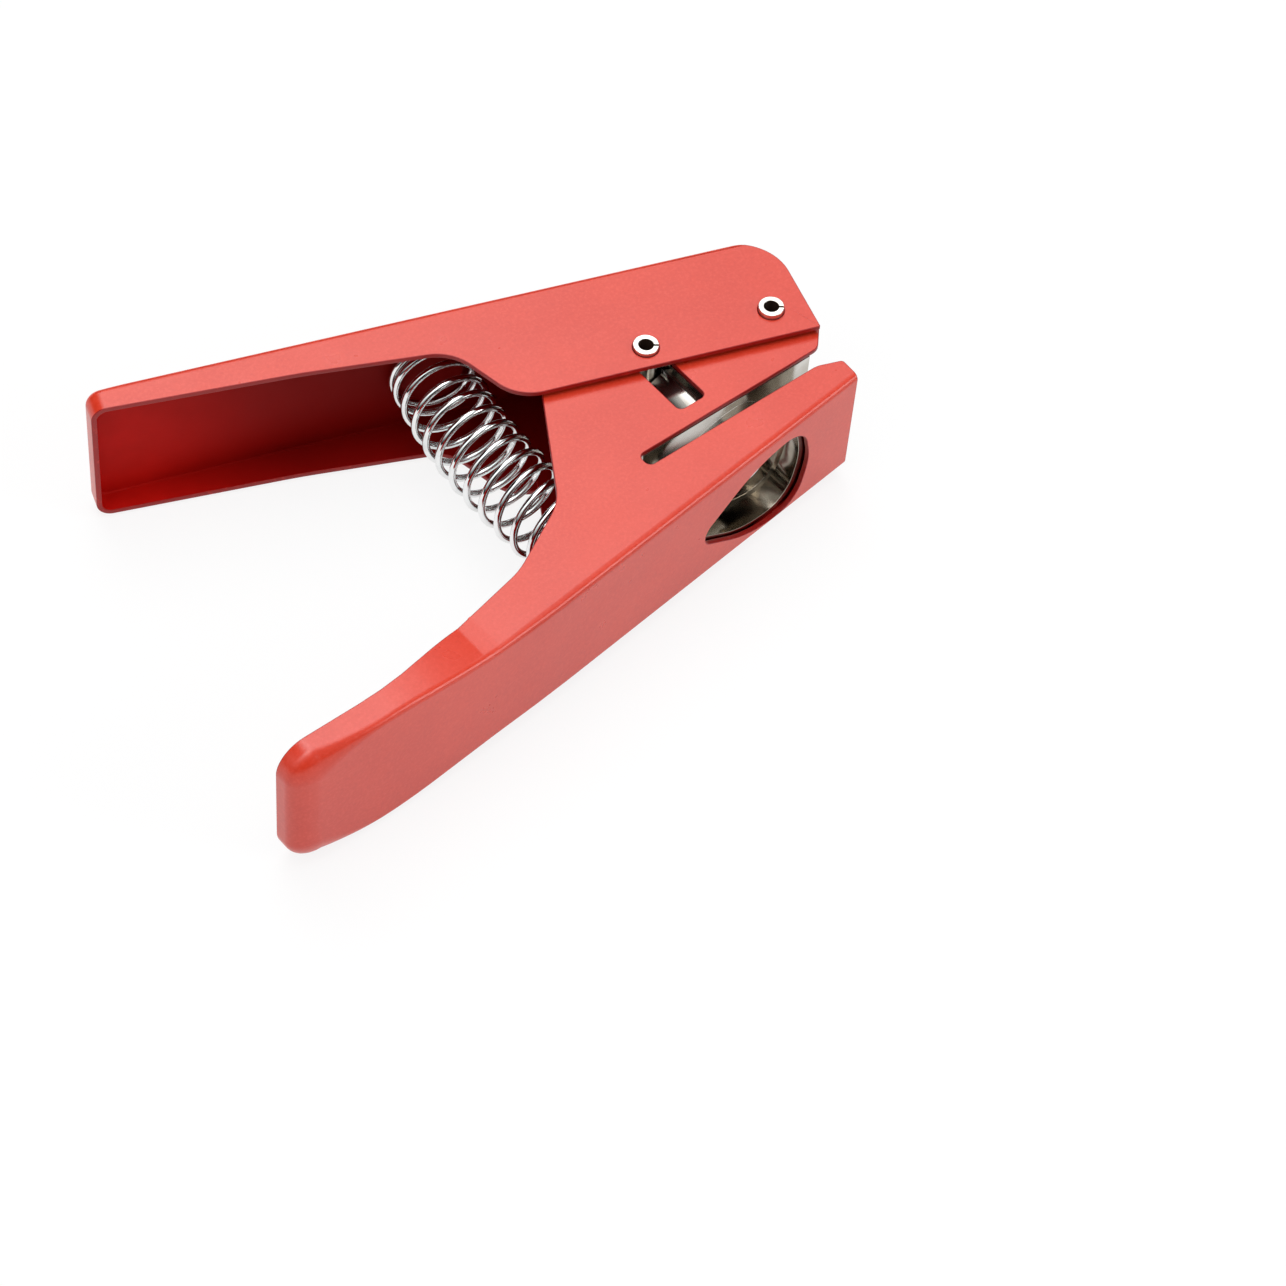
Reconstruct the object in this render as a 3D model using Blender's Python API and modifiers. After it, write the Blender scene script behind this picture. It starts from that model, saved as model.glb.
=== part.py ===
# Guitar pick punch: a hand tool of two pressed steel channels on a pivot pin.
# Squeezing the lever drives a pick-shaped punch through a guide, across the
# jaw slot and into a die; the cut pick drops out of a hole in the frame's web.
# The tool lies on its side: the pins stand along Z, the jaws open towards +X,
# and the lever is on the +Y side. All sizes are in metres.

import math

import bmesh
import bpy
from mathutils import Matrix, Vector

for old in list(bpy.data.objects):
    bpy.data.objects.remove(old, do_unlink=True)

# Sheet of both channels
sheet = 0.0012
bend_radius = 0.0015

# Clearances
rest_gap = 0.0003
slide_gap = 0.0003
overrun = 0.0040
merge_gap = 0.00001

# Lever, measured from the pivot axis: back along the grip, and up to its web
head_room = 0.0054
lever_reach = 0.1463
lever_nose = 0.0086
lever_nose_lean = 0.0013
lever_nose_radius = 0.0116
lever_tip_radius = 0.0004
lever_drop = 0.0075
lever_heel_reach = 0.0599
lever_heel_radius = 0.0100
lever_notch_run = 0.0094
lever_notch_height = 0.0087
lever_notch_radius = 0.0100
lever_grip_reach = 0.1017
lever_grip_height = 0.0120
lever_grip_radius = 0.1500
lever_end_height = 0.0148
lever_corner_radius = 0.0036
lever_end_radius = 0.0018
lever_end_blend = 0.0060
lever_flare = 0.0004
lever_open_angle = math.radians(19.7)
lever_travel = math.radians(22.0)

# Frame, measured from the pivot axis along the jaw slot
jaw_depth = 0.00804
frame_web_angle = math.radians(6.45)
jaw_reach = 0.0045
jaw_front_angle = math.radians(2.5)
jaw_nose_step = 0.0022
jaw_nose_radius = 0.0010
jaw_chin_reach = 0.0011
jaw_chin_radius = 0.0060
slot_top_drop = 0.0129
slot_height = 0.0036
slot_end_gap = 0.0015
slot_radius = 0.0015
ear_nose = 0.0069
ear_nose_radius = 0.0030
ear_chin_reach = 0.0025
ear_chin_radius = 0.0030
ear_cheek_drop = 0.0083
ear_brow_radius = 0.0085
ear_top_height = 0.0140
ear_heel_reach = 0.0520
ear_heel_radius = 0.0040
ear_throat_reach = 0.0689
ear_throat_drop = 0.0126
ear_throat_radius = 0.0080
ear_shoulder_reach = 0.0865
ear_shoulder_drop = 0.02175
ear_shoulder_radius = 0.0200
grip_start_reach = 0.1255
grip_wall_height = 0.0067
grip_edge_radius = 0.0800

# Frame's grip, wider than its ears by a joggle in each side
grip_kink_reach = 0.0790
grip_kink_run = 0.0589
grip_reach = 0.1545
grip_corner_radius = 0.0070
grip_end_radius = 0.0062
grip_end_blend = 0.0160
joggle_from_end = 0.0489
joggle_run = 0.0145
joggle_foot_lead = 0.0056
joggle_foot_run = 0.0310
joggle_step = 0.0022

# Pins
pin_diameter = 0.0056
pin_wall = 0.0011
pin_split = 0.0006
pin_split_turn = math.radians(-40.0)
pin_chamfer = 0.0004
pin_stand_out = 0.0012
drive_stand_out = 0.0009
drive_radius = 0.0295
drive_angle = math.radians(15.5)
window_spare = 0.0022
window_radius = 0.0014

# Washers between the lever's sides and the ears
washer_diameter = 0.0110
washer_space = 0.0010

# Punch, guide and die
punch_tip_reach = 0.0382
punch_front_reach = 0.0122
punch_half_width = 0.0107
pick_tip_radius = 0.0036
pick_side_radius = 0.0290
pick_shoulder_radius = 0.0075
pick_front_radius = 0.0170
punch_cap = 0.0020
guide_rear_wall = 0.0078
guide_front_wall = 0.0127
guide_side_wall = 0.0026
guide_height = 0.0200
guide_step_height = 0.0058
guide_head_wall = 0.0062
die_land = 0.0025
die_land_gap = 0.0003
die_relief_gap = 0.0012
drop_tip_gap = 0.0010
drop_front_gap = 0.0031
drop_side_gap = 0.0012
drop_offset = 0.0015

# Handle spring
spring_wire = 0.0016
spring_diameter = 0.0195
spring_curls = 15.7
spring_closed_curls = 0.75
spring_eased_curls = 1.0
spring_closed_gap = 0.0005
spring_clear = 0.00775
spring_lean = 0.0037
spring_points_per_curl = 10
seat_play = 0.0007
seat_height = 0.0021
seat_chamfer = 0.0006

# Places worked out from the sizes: half widths, from the punch outwards
block_half = punch_half_width + guide_side_wall
half_frame = block_half + rest_gap + sheet
half_lever = half_frame + washer_space + sheet
half_grip = half_frame + joggle_step
lever_width = 2 * half_lever

# Drops and heights from the pivot axis
slot_floor_drop = slot_top_drop + slot_height
jaw_nose_drop = slot_floor_drop + jaw_nose_step
frame_web_drop = slot_floor_drop + jaw_depth
lever_web_height = ear_top_height + head_room + sheet
web_slope = math.tan(frame_web_angle)
kink_level = -frame_web_drop - web_slope * grip_kink_reach
grip_web_drop = web_slope * grip_kink_run / 2 - kink_level
grip_edge_drop = grip_web_drop - grip_wall_height

# Reaches from the pivot axis
guide_rear_reach = punch_tip_reach + guide_rear_wall
guide_front = guide_front_wall - punch_front_reach
joggle_reach = grip_reach - joggle_from_end
joggle_foot_reach = joggle_reach - joggle_foot_lead
slot_depth = guide_rear_reach + slot_end_gap
drop_tip_reach = punch_tip_reach + drop_tip_gap
drop_front_reach = punch_front_reach - drop_front_gap
drop_half_width = punch_half_width + drop_side_gap
spring_foot_reach = guide_rear_reach + spring_clear + spring_diameter / 2
spring_head_reach = spring_foot_reach - spring_lean
lever_notch_reach = lever_heel_reach + lever_notch_run

# Pins
pin_radius = pin_diameter / 2
drive_rest = Vector((-drive_radius * math.cos(drive_angle), drive_radius * math.sin(drive_angle)))
drive_low = drive_radius * math.sin(drive_angle - lever_travel)
arc_steps = 8

# Where a pick's outline turns, as shares of its length from the tip and of its half width
pick_outline_shares = ((-0.17, 0.0), (0.41, 0.95), (0.90, 1.06), (1.003, 0.0))


def web_level(x):
    """Outer face of the frame's web at x: sloped under the jaws, eased level under the grip."""
    past = -x - grip_kink_reach
    if past <= 0.0:
        return -frame_web_drop + web_slope * x
    past = min(past, grip_kink_run)
    return kink_level - web_slope * (past - past ** 2 / (2 * grip_kink_run))


def material(name, colour, metallic, roughness):
    mat = bpy.data.materials.new(name)
    mat.use_nodes = True
    shader = mat.node_tree.nodes["Principled BSDF"]
    shader.inputs["Base Color"].default_value = (*colour, 1.0)
    shader.inputs["Metallic"].default_value = metallic
    shader.inputs["Roughness"].default_value = roughness
    mat.diffuse_color = (*colour, 1.0)
    return mat


parts = bpy.data.collections.new("guitar_pick_punch")
cutters = bpy.data.collections.new("cutters")
bpy.context.scene.collection.children.link(parts)
bpy.context.scene.collection.children.link(cutters)


def mesh_object(name, bm, group):
    mesh = bpy.data.meshes.new(name)
    bm.to_mesh(mesh)
    bm.free()
    obj = bpy.data.objects.new(name, mesh)
    group.objects.link(obj)
    return obj


def rounded(corners):
    """Closed outline through corners (x, y, radius), each rounded by an arc."""
    points = []
    count = len(corners)
    for i, (x, y, radius) in enumerate(corners):
        here = Vector((x, y))
        back = Vector(corners[i - 1][:2]) - here
        ahead = Vector(corners[(i + 1) % count][:2]) - here
        turn = math.pi - back.angle(ahead)
        if radius == 0.0 or turn < 0.001:
            points.append(here)
            continue
        reach = min(radius * math.tan(turn / 2), 0.49 * back.length, 0.49 * ahead.length)
        radius = reach / math.tan(turn / 2)
        start = here + back.normalized() * reach
        middle = here + (back.normalized() + ahead.normalized()).normalized() * (radius / math.cos(turn / 2))
        side = 1.0 if back.x * ahead.y - back.y * ahead.x < 0 else -1.0
        steps = max(2, math.ceil(arc_steps * turn / (math.pi / 2)))
        for k in range(steps + 1):
            swing = Matrix.Rotation(side * turn * k / steps, 2)
            points.append(middle + swing @ (start - middle))
    return points


def prism(name, points, low, high, group, lay):
    """Closed solid of an outline between two levels; lay turns (a, b, level) into x, y, z."""
    bm = bmesh.new()
    base = [bm.verts.new(lay(p[0], p[1], low)) for p in points]
    face = bm.faces.new(base)
    made = bmesh.ops.extrude_face_region(bm, geom=[face])
    lift = Vector(lay(0, 0, high)) - Vector(lay(0, 0, low))
    bmesh.ops.translate(bm, vec=lift, verts=[v for v in made["geom"] if isinstance(v, bmesh.types.BMVert)])
    bmesh.ops.recalc_face_normals(bm, faces=bm.faces)
    return mesh_object(name, bm, group)


def side_view(a, b, level):
    return (a, b, level)


def plan_view(a, b, level):
    return (a, level, b)


def cut(obj, tool, operation="DIFFERENCE"):
    tool.hide_render = True
    tool.display_type = "WIRE"
    step = obj.modifiers.new(operation.title(), "BOOLEAN")
    step.operation = operation
    step.solver = "EXACT"
    step.object = tool


def channel(name, run, end_reach, corner, end_bend, level, top, sign):
    """Pressed channel with a closed rounded end.

    run lists (x, half width at the bend, half width at the edge) from the open
    nose to the start of the end corner, level(x) is the web's outer face, top the
    walls' untrimmed edge, and sign is -1 where the web is under the walls and +1
    where it is over them.
    """
    stations = [(x, w, e, 0.0, -1.0, bend_radius) for x, w, e in run]
    last_x, last_w, last_e = run[-1]
    stations[-1] = (last_x, last_w, last_e, 0.0, -1.0, end_bend)
    for k in range(1, arc_steps + 1):
        a = math.pi / 2 * k / arc_steps
        x = -end_reach + corner - corner * math.sin(a)
        w = last_w - corner + corner * math.cos(a)
        stations.append((x, w, w, math.sin(a), -math.cos(a), end_bend))
    bm = bmesh.new()
    sides = []
    for side in (1.0, -1.0):
        columns = []
        for x, w, e, nx, nz, r in stations:
            column = [bm.verts.new((x, top, side * e)),
                      bm.verts.new((x, level(x) - sign * grip_wall_height, side * e))]
            for k in range(5):
                a = math.pi / 2 * k / 4
                inset = r * (1 - math.cos(a))
                px = x + nx * inset
                py = level(px) - sign * r * (1 - math.sin(a))
                column.append(bm.verts.new((px, py, side * (w + nz * inset))))
            columns.append(column)
        sides.append(columns)
    near, far = sides
    loop = near + far[::-1]
    for one, two in zip(loop[:-1], loop[1:]):
        for k in range(6):
            bm.faces.new((one[k], two[k], two[k + 1], one[k + 1]))
    for i in range(len(near) - 1):
        bm.faces.new((near[i][-1], near[i + 1][-1], far[i + 1][-1], far[i][-1]))
    bmesh.ops.recalc_face_normals(bm, faces=bm.faces)
    web = max((f for f in bm.faces), key=lambda f: f.calc_area() * abs(f.normal.y))
    if web.normal.y * sign < 0:
        bmesh.ops.reverse_faces(bm, faces=bm.faces)
    obj = mesh_object(name, bm, parts)
    obj.data.shade_smooth()
    obj.data.set_sharp_from_angle(angle=math.radians(30))
    wall = obj.modifiers.new("Sheet", "SOLIDIFY")
    wall.thickness = sheet
    wall.offset = -1.0
    wall.use_even_offset = True
    return obj


def turned(name, profile, group, steps=48):
    """Turned solid about its own Z from a closed profile of (radius, height)."""
    mesh = bpy.data.meshes.new(name)
    count = len(profile)
    edges = [(i, (i + 1) % count) for i in range(count)]
    if profile[0][0] == 0.0:
        edges = edges[:-1]
    mesh.from_pydata([(r, 0.0, h) for r, h in profile], edges, [])
    obj = bpy.data.objects.new(name, mesh)
    group.objects.link(obj)
    spin = obj.modifiers.new("Turn", "SCREW")
    spin.steps = steps
    spin.render_steps = steps
    spin.use_merge_vertices = True
    spin.merge_threshold = merge_gap
    spin.use_smooth_shade = True
    return obj


def box(name, low, high, group):
    bm = bmesh.new()
    bmesh.ops.create_cube(bm, size=1.0)
    low, high = Vector(low), Vector(high)
    for v in bm.verts:
        v.co = Vector((v.co[k] * (high[k] - low[k]) + (low[k] + high[k]) / 2 for k in range(3)))
    return mesh_object(name, bm, group)


def pick_outline(tip, front, half_width, grow=0.0):
    """Pick outline in plan, tip towards -X: (x, z) points, grown outwards by grow."""
    length = tip - front
    corners = []
    radii = (pick_tip_radius, pick_side_radius, pick_shoulder_radius, pick_front_radius)
    places = [(-tip + length * a, half_width * b, r) for (a, b), r in zip(pick_outline_shares, radii)]
    corners = places + [(x, -z, r) for x, z, r in places[2:0:-1]]
    points = rounded(corners)
    if grow == 0.0:
        return points
    grown = []
    for i, p in enumerate(points):
        along = (points[(i + 1) % len(points)] - points[i - 1]).normalized()
        grown.append(p + Vector((-along.y, along.x)) * grow)
    return grown


red = ("satin_red_paint", (0.60, 0.060, 0.050), 0.0, 0.42)
steel = ((0.62, 0.62, 0.61), 1.0, 0.25)


def paint(obj, name, colour, metallic, roughness):
    obj.data.materials.append(material(name, colour, metallic, roughness))


# Lower frame: channel blank, trimmed to its side outline
def grip_half_widths(x):
    """Half widths of the frame at x: eased in and out at the bend, creased at the edge."""
    foot = min(max((-x - joggle_foot_reach) / joggle_foot_run, 0.0), 1.0)
    edge = min(max((-x - joggle_reach) / joggle_run, 0.0), 1.0)
    return (half_frame + joggle_step * foot ** 2 * (3 - 2 * foot),
            half_frame + joggle_step * (1 - (1 - edge) ** 2))


run_places = [-grip_kink_reach - grip_kink_run * k / arc_steps for k in range(arc_steps + 1)]
run_places += [-joggle_reach - joggle_run * k / arc_steps for k in range(arc_steps + 1)]
run_places += [-joggle_foot_reach - joggle_foot_run * k / arc_steps for k in range(arc_steps + 1)]
run_places += [jaw_reach + overrun, -grip_reach + grip_corner_radius + grip_end_blend,
               -grip_reach + grip_corner_radius]
frame_run = [(x, *grip_half_widths(x)) for x in sorted(run_places, reverse=True)]
lower_frame = channel("lower_frame", frame_run, grip_reach, grip_corner_radius, grip_end_radius,
                      web_level, ear_top_height + overrun, -1)
frame_floor = -grip_web_drop - overrun
jaw_foot_reach = jaw_reach + math.tan(jaw_front_angle) * (frame_floor + jaw_nose_drop)
frame_outline = rounded([
    (jaw_foot_reach, frame_floor, 0.0),
    (jaw_reach, -jaw_nose_drop, jaw_nose_radius),
    (-jaw_chin_reach, -slot_floor_drop, jaw_chin_radius),
    (-slot_depth, -slot_floor_drop, slot_radius),
    (-slot_depth, -slot_top_drop, slot_radius),
    (ear_chin_reach, -slot_top_drop, ear_chin_radius),
    (ear_nose, -ear_cheek_drop, ear_nose_radius),
    (ear_nose, ear_top_height, ear_brow_radius),
    (-ear_heel_reach, ear_top_height, ear_heel_radius),
    (-ear_throat_reach, -ear_throat_drop, ear_throat_radius),
    (-ear_shoulder_reach, -ear_shoulder_drop, ear_shoulder_radius),
    (-grip_start_reach, -grip_edge_drop, grip_edge_radius),
    (-grip_reach - overrun, -grip_edge_drop, 0.0),
    (-grip_reach - overrun, frame_floor, 0.0),
])
cut(lower_frame, prism("frame_trim", frame_outline, -half_grip - overrun, half_grip + overrun,
                       cutters, side_view), "INTERSECT")

pin_hole = pin_radius + rest_gap


def pin_hole_tool(name, place):
    bm = bmesh.new()
    bmesh.ops.create_cone(bm, cap_ends=True, segments=48, radius1=pin_hole, radius2=pin_hole,
                          depth=lever_width + 2 * overrun)
    tool = mesh_object(name, bm, cutters)
    tool.location = (place[0], place[1], 0.0)
    return tool


pivot_hole = pin_hole_tool("pivot_hole", (0.0, 0.0))
cut(lower_frame, pivot_hole)
window_rear = -(drive_radius + pin_radius + slide_gap)
window_front = drive_rest.x + pin_radius + slide_gap
window_top = drive_rest.y + pin_radius + slide_gap
window_floor = drive_low - pin_radius - slide_gap - window_spare
window_outline = rounded([
    (window_rear, window_floor, window_radius),
    (window_front, window_floor, window_radius),
    (window_front, window_top, window_radius),
    (window_rear, window_top, window_radius),
])
cut(lower_frame, prism("drive_windows", window_outline, -half_frame - overrun, half_frame + overrun,
                       cutters, side_view))
drop_outline = [p - Vector((0.0, drop_offset))
                for p in pick_outline(drop_tip_reach, drop_front_reach, drop_half_width)]
cut(lower_frame, prism("drop_hole", drop_outline, frame_floor, -frame_web_drop + overrun,
                       cutters, plan_view))
paint(lower_frame, *red)

# Lever: made along -X and turned open about the pivot
lever_frame = Matrix.Rotation(-lever_open_angle, 4, "Z")
half_lever_end = half_lever + lever_flare
lever_blend_share = lever_end_blend / (lever_reach - lever_corner_radius - lever_notch_reach)
lever_blend_half = half_lever_end - lever_flare * lever_blend_share
lever_run = [
    (lever_nose + overrun, half_lever, half_lever),
    (-lever_notch_reach, half_lever, half_lever),
    (-lever_reach + lever_corner_radius + lever_end_blend, lever_blend_half, lever_blend_half),
    (-lever_reach + lever_corner_radius, half_lever_end, half_lever_end),
]
lever = channel("lever", lever_run, lever_reach, lever_corner_radius, lever_end_radius,
                lambda x: lever_web_height, -lever_drop - overrun, 1)
lever_top = lever_web_height + overrun
lever_outline = rounded([
    (lever_nose, -lever_drop, lever_tip_radius),
    (lever_nose - lever_nose_lean, lever_web_height, lever_nose_radius),
    (-lever_notch_reach, lever_web_height, 0.0),
    (-lever_notch_reach, lever_top, 0.0),
    (-lever_reach - overrun, lever_top, 0.0),
    (-lever_reach - overrun, lever_end_height, 0.0),
    (-lever_grip_reach, lever_grip_height, lever_grip_radius),
    (-lever_notch_reach, lever_notch_height, lever_notch_radius),
    (-lever_heel_reach, -lever_drop, lever_heel_radius),
])
cut(lever, prism("lever_trim", lever_outline, -half_lever - overrun, half_lever + overrun,
                 cutters, side_view), "INTERSECT")
drive_local = lever_frame.inverted() @ Vector((drive_rest.x, drive_rest.y, 0.0))
cut(lever, pivot_hole)
drive_hole = pin_hole_tool("drive_hole", drive_local)
cut(lever, drive_hole)
bpy.context.view_layer.update()
for piece in (lever, bpy.data.objects["lever_trim"], drive_hole):
    piece.matrix_world = lever_frame @ piece.matrix_world
paint(lever, *red)


# Pins: rolled spring pins, each with its split along one side
def spring_pin(name, place, stand_out):
    half = half_lever + stand_out
    outer, inner, edge = pin_radius, pin_radius - pin_wall, pin_chamfer
    pin = turned(name, [
        (outer - edge, half), (outer, half - edge), (outer, -half + edge), (outer - edge, -half),
        (inner, -half), (inner, half)], parts, steps=32)
    split = box(name + "_split", (0.0, -pin_split / 2, -half - overrun),
                (outer + overrun, pin_split / 2, half + overrun), cutters)
    pin.location = (place[0], place[1], 0.0)
    split.location = pin.location
    split.rotation_euler.z = pin_split_turn
    cut(pin, split)
    paint(pin, name + "_steel", *steel)
    return pin


pivot_pin = spring_pin("pivot_pin", (0.0, 0.0), pin_stand_out)
drive_pin = spring_pin("drive_pin", drive_rest, drive_stand_out)

# Washers on the pivot pin
for name, side in (("pivot_washer_near", 1), ("pivot_washer_far", -1)):
    rim = washer_diameter / 2
    half = washer_space / 2 - rest_gap
    washer = turned(name, [(rim, half), (rim, -half), (pin_hole, -half), (pin_hole, half)], parts)
    washer.location = (0.0, 0.0, side * (half_frame + washer_space / 2))
    paint(washer, name + "_steel", *steel)

# Punch: a pick-shaped bar with a cross slot for the drive pin
punch_floor = -slot_top_drop + rest_gap
punch_top = window_top + punch_cap
punch = prism("punch", pick_outline(punch_tip_reach, punch_front_reach, punch_half_width),
              punch_floor, punch_top, parts, plan_view)
cross_outline = rounded([
    (window_rear, drive_rest.y - pin_radius - slide_gap, window_radius),
    (window_front, drive_rest.y - pin_radius - slide_gap, window_radius),
    (window_front, window_top, window_radius),
    (window_rear, window_top, window_radius),
])
cut(punch, prism("cross_slot", cross_outline, -half_frame, half_frame, cutters, side_view))
paint(punch, "punch_steel", *steel)

# Guide over the slot, notched for the drive pin's way
guide_floor = -slot_top_drop + rest_gap / 3
guide_top = guide_floor + guide_height
guide_step = guide_floor + guide_step_height
guide_head_front = guide_head_wall - punch_front_reach
punch_guide = prism("punch_guide", [
    Vector((-guide_rear_reach, guide_top)), Vector((-guide_rear_reach, guide_floor)),
    Vector((guide_front, guide_floor)), Vector((guide_front, guide_step)),
    Vector((guide_head_front, guide_step)), Vector((guide_head_front, guide_top))],
    -block_half, block_half, parts, side_view)
guide_hole = prism("guide_hole", pick_outline(punch_tip_reach, punch_front_reach, punch_half_width, slide_gap),
                   guide_floor - overrun, guide_top + overrun, cutters, plan_view)
guide_notch = box("guide_notch", (window_rear, window_floor, -block_half - overrun),
                  (window_front, guide_top + overrun, block_half + overrun), cutters)
cut(punch_guide, guide_hole)
cut(punch_guide, guide_notch)
paint(punch_guide, "guide_steel", *steel)

# Die under the slot, its foot parallel to the web
die_top = -slot_floor_drop - rest_gap
foot = (sheet + rest_gap) / math.cos(frame_web_angle)
die = prism("die", [
    Vector((-guide_rear_reach, die_top)), Vector((-guide_rear_reach, web_level(-guide_rear_reach) + foot)),
    Vector((guide_front, web_level(guide_front) + foot)), Vector((guide_front, die_top))],
    -block_half, block_half, parts, side_view)
die_hole = prism("die_hole", pick_outline(punch_tip_reach, punch_front_reach, punch_half_width, die_land_gap),
                 die_top - die_land - overrun, die_top + overrun, cutters, plan_view)
die_relief = prism("die_relief", pick_outline(punch_tip_reach, punch_front_reach, punch_half_width, die_relief_gap),
                   frame_floor, die_top - die_land, cutters, plan_view)
cut(die, die_hole)
cut(die, die_relief)
paint(die, "die_steel", *steel)

# Handle spring: its axis bends so that each end stands square on its web
frame_up = Vector((-math.sin(frame_web_angle), math.cos(frame_web_angle)))
lever_up = Vector((math.sin(lever_open_angle), math.cos(lever_open_angle)))
foot_face = Vector((-spring_foot_reach, web_level(-spring_foot_reach))) + frame_up * sheet
head_inside = lever_web_height - sheet
head_along = (spring_head_reach + head_inside * lever_up.x) / lever_up.y
head_face = Vector((-head_along * lever_up.y, head_along * lever_up.x)) + lever_up * head_inside
wire_seat = rest_gap + spring_wire / 2
axis_start = foot_face + frame_up * wire_seat
axis_end = head_face - lever_up * wire_seat
axis_length = (axis_end - axis_start).length


def axis_point(t):
    """Bowed axis at t from 0 to 1, with its direction."""
    a, b = axis_start, axis_end
    u, v = frame_up * axis_length, lever_up * axis_length
    place = (a * (2 * t ** 3 - 3 * t ** 2 + 1) + u * (t ** 3 - 2 * t ** 2 + t)
             + b * (3 * t ** 2 - 2 * t ** 3) + v * (t ** 3 - t ** 2))
    way = (a * (6 * t ** 2 - 6 * t) + u * (3 * t ** 2 - 4 * t + 1)
           + b * (6 * t - 6 * t ** 2) + v * (3 * t ** 2 - 2 * t))
    return place, way.normalized()


closed_pitch = spring_wire + spring_closed_gap
added_pitch = (axis_length - closed_pitch * spring_curls) / (
    spring_curls - 2 * spring_closed_curls - spring_eased_curls)


def climb(turns):
    """Share of the axis climbed after a number of curls: closed ends, eased into an even pitch."""
    if turns > spring_curls / 2:
        return 1 - climb(spring_curls - turns)
    open_turns = turns - spring_closed_curls
    if open_turns <= 0.0:
        extra = 0.0
    elif open_turns <= spring_eased_curls:
        extra = open_turns ** 2 / (2 * spring_eased_curls)
    else:
        extra = open_turns - spring_eased_curls / 2
    return (closed_pitch * turns + added_pitch * extra) / axis_length


coil_radius = (spring_diameter - spring_wire) / 2


def coil_point(turns):
    place, way = axis_point(climb(turns))
    across = Vector((way.y, -way.x))
    a = -2 * math.pi * turns
    flat = place + across * (coil_radius * math.cos(a))
    return Vector((flat.x, flat.y, coil_radius * math.sin(a)))


count = round(spring_curls * spring_points_per_curl)
coil = [coil_point(spring_curls * i / count) for i in range(count + 1)]
lead_in = coil[0] - (coil[1] - coil[0]).normalized() * spring_wire
lead_out = coil[-1] + (coil[-1] - coil[-2]).normalized() * spring_wire
coil = [lead_in] + coil + [lead_out]
apart = spring_points_per_curl // 2
least = min((p - q).length for i, p in enumerate(coil) for q in coil[i + apart:]) - spring_wire
print("handle_spring least gap to itself, mm:", round(1000 * least, 2))
wire = bpy.data.curves.new("handle_spring", "CURVE")
wire.dimensions = "3D"
wire.bevel_depth = spring_wire / 2
wire.bevel_resolution = 1
wire.use_fill_caps = True
line = wire.splines.new("POLY")
line.points.add(len(coil) - 1)
for point, place in zip(line.points, coil):
    point.co = (*place, 1.0)
handle_spring = bpy.data.objects.new("handle_spring", wire)
parts.objects.link(handle_spring)
paint(handle_spring, "spring_chrome", (0.75, 0.75, 0.75), 1.0, 0.12)

# Spring seats: plugs inside the end curls
seat_radius = coil_radius - spring_wire / 2 - seat_play
for name, face, up in (("spring_seat_lower", foot_face, frame_up), ("spring_seat_upper", head_face, -lever_up)):
    seat = turned(name, [
        (0.0, seat_height), (seat_radius - seat_chamfer, seat_height), (seat_radius, seat_height - seat_chamfer),
        (seat_radius, rest_gap), (0.0, rest_gap)], parts)
    turn = Vector((0.0, 0.0, 1.0)).rotation_difference(Vector((up.x, up.y, 0.0)))
    seat.rotation_mode = "QUATERNION"
    seat.rotation_quaternion = turn
    seat.location = (face.x, face.y, 0.0)
    paint(seat, *red)

# Stand the tool on its own origin: centre of its footprint, lowest point at zero
stand = bpy.data.objects.new("stand", None)
bpy.context.scene.collection.objects.link(stand)
for obj in list(parts.objects) + list(cutters.objects):
    obj.parent = stand
bpy.context.view_layer.update()
graph = bpy.context.evaluated_depsgraph_get()
spots = []
for obj in parts.objects:
    shape = obj.evaluated_get(graph).to_mesh()
    spots += [obj.matrix_world @ v.co for v in shape.vertices]
    obj.evaluated_get(graph).to_mesh_clear()
low = [min(p[k] for p in spots) for k in range(3)]
high = [max(p[k] for p in spots) for k in range(3)]
stand.location = (-(low[0] + high[0]) / 2, -(low[1] + high[1]) / 2, -low[2])
bpy.context.view_layer.update()
print("pivot axis at, mm:", [round(1000 * v, 4) for v in pivot_pin.matrix_world.translation])
print("drive pin at, mm:", [round(1000 * v, 4) for v in drive_pin.matrix_world.translation])
print("overall size, mm:", [round(1000 * (b - a), 2) for a, b in zip(low, high)])
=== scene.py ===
# Guitar pick punch, finished: two red pressings on a pivot pin, with a chrome
# handle spring, rolled spring pins, and a ground punch, guide and die.
import math

import bmesh
import bpy
from mathutils import Matrix, Vector


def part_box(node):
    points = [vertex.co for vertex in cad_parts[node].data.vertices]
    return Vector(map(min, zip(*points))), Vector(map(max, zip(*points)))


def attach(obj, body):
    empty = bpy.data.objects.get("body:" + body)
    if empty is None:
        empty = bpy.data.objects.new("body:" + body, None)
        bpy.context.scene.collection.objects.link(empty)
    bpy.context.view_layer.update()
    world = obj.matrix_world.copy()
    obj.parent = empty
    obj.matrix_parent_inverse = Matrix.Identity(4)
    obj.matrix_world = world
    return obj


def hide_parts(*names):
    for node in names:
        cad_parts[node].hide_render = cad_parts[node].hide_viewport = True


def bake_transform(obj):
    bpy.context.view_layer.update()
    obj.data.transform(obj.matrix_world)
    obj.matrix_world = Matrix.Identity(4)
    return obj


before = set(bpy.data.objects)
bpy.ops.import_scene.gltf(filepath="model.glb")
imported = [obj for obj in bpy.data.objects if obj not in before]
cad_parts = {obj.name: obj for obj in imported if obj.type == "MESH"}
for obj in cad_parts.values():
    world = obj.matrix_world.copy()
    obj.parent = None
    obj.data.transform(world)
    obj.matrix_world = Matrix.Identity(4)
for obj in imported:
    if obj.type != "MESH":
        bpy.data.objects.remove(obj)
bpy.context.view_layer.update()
scene = bpy.context.scene

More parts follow.
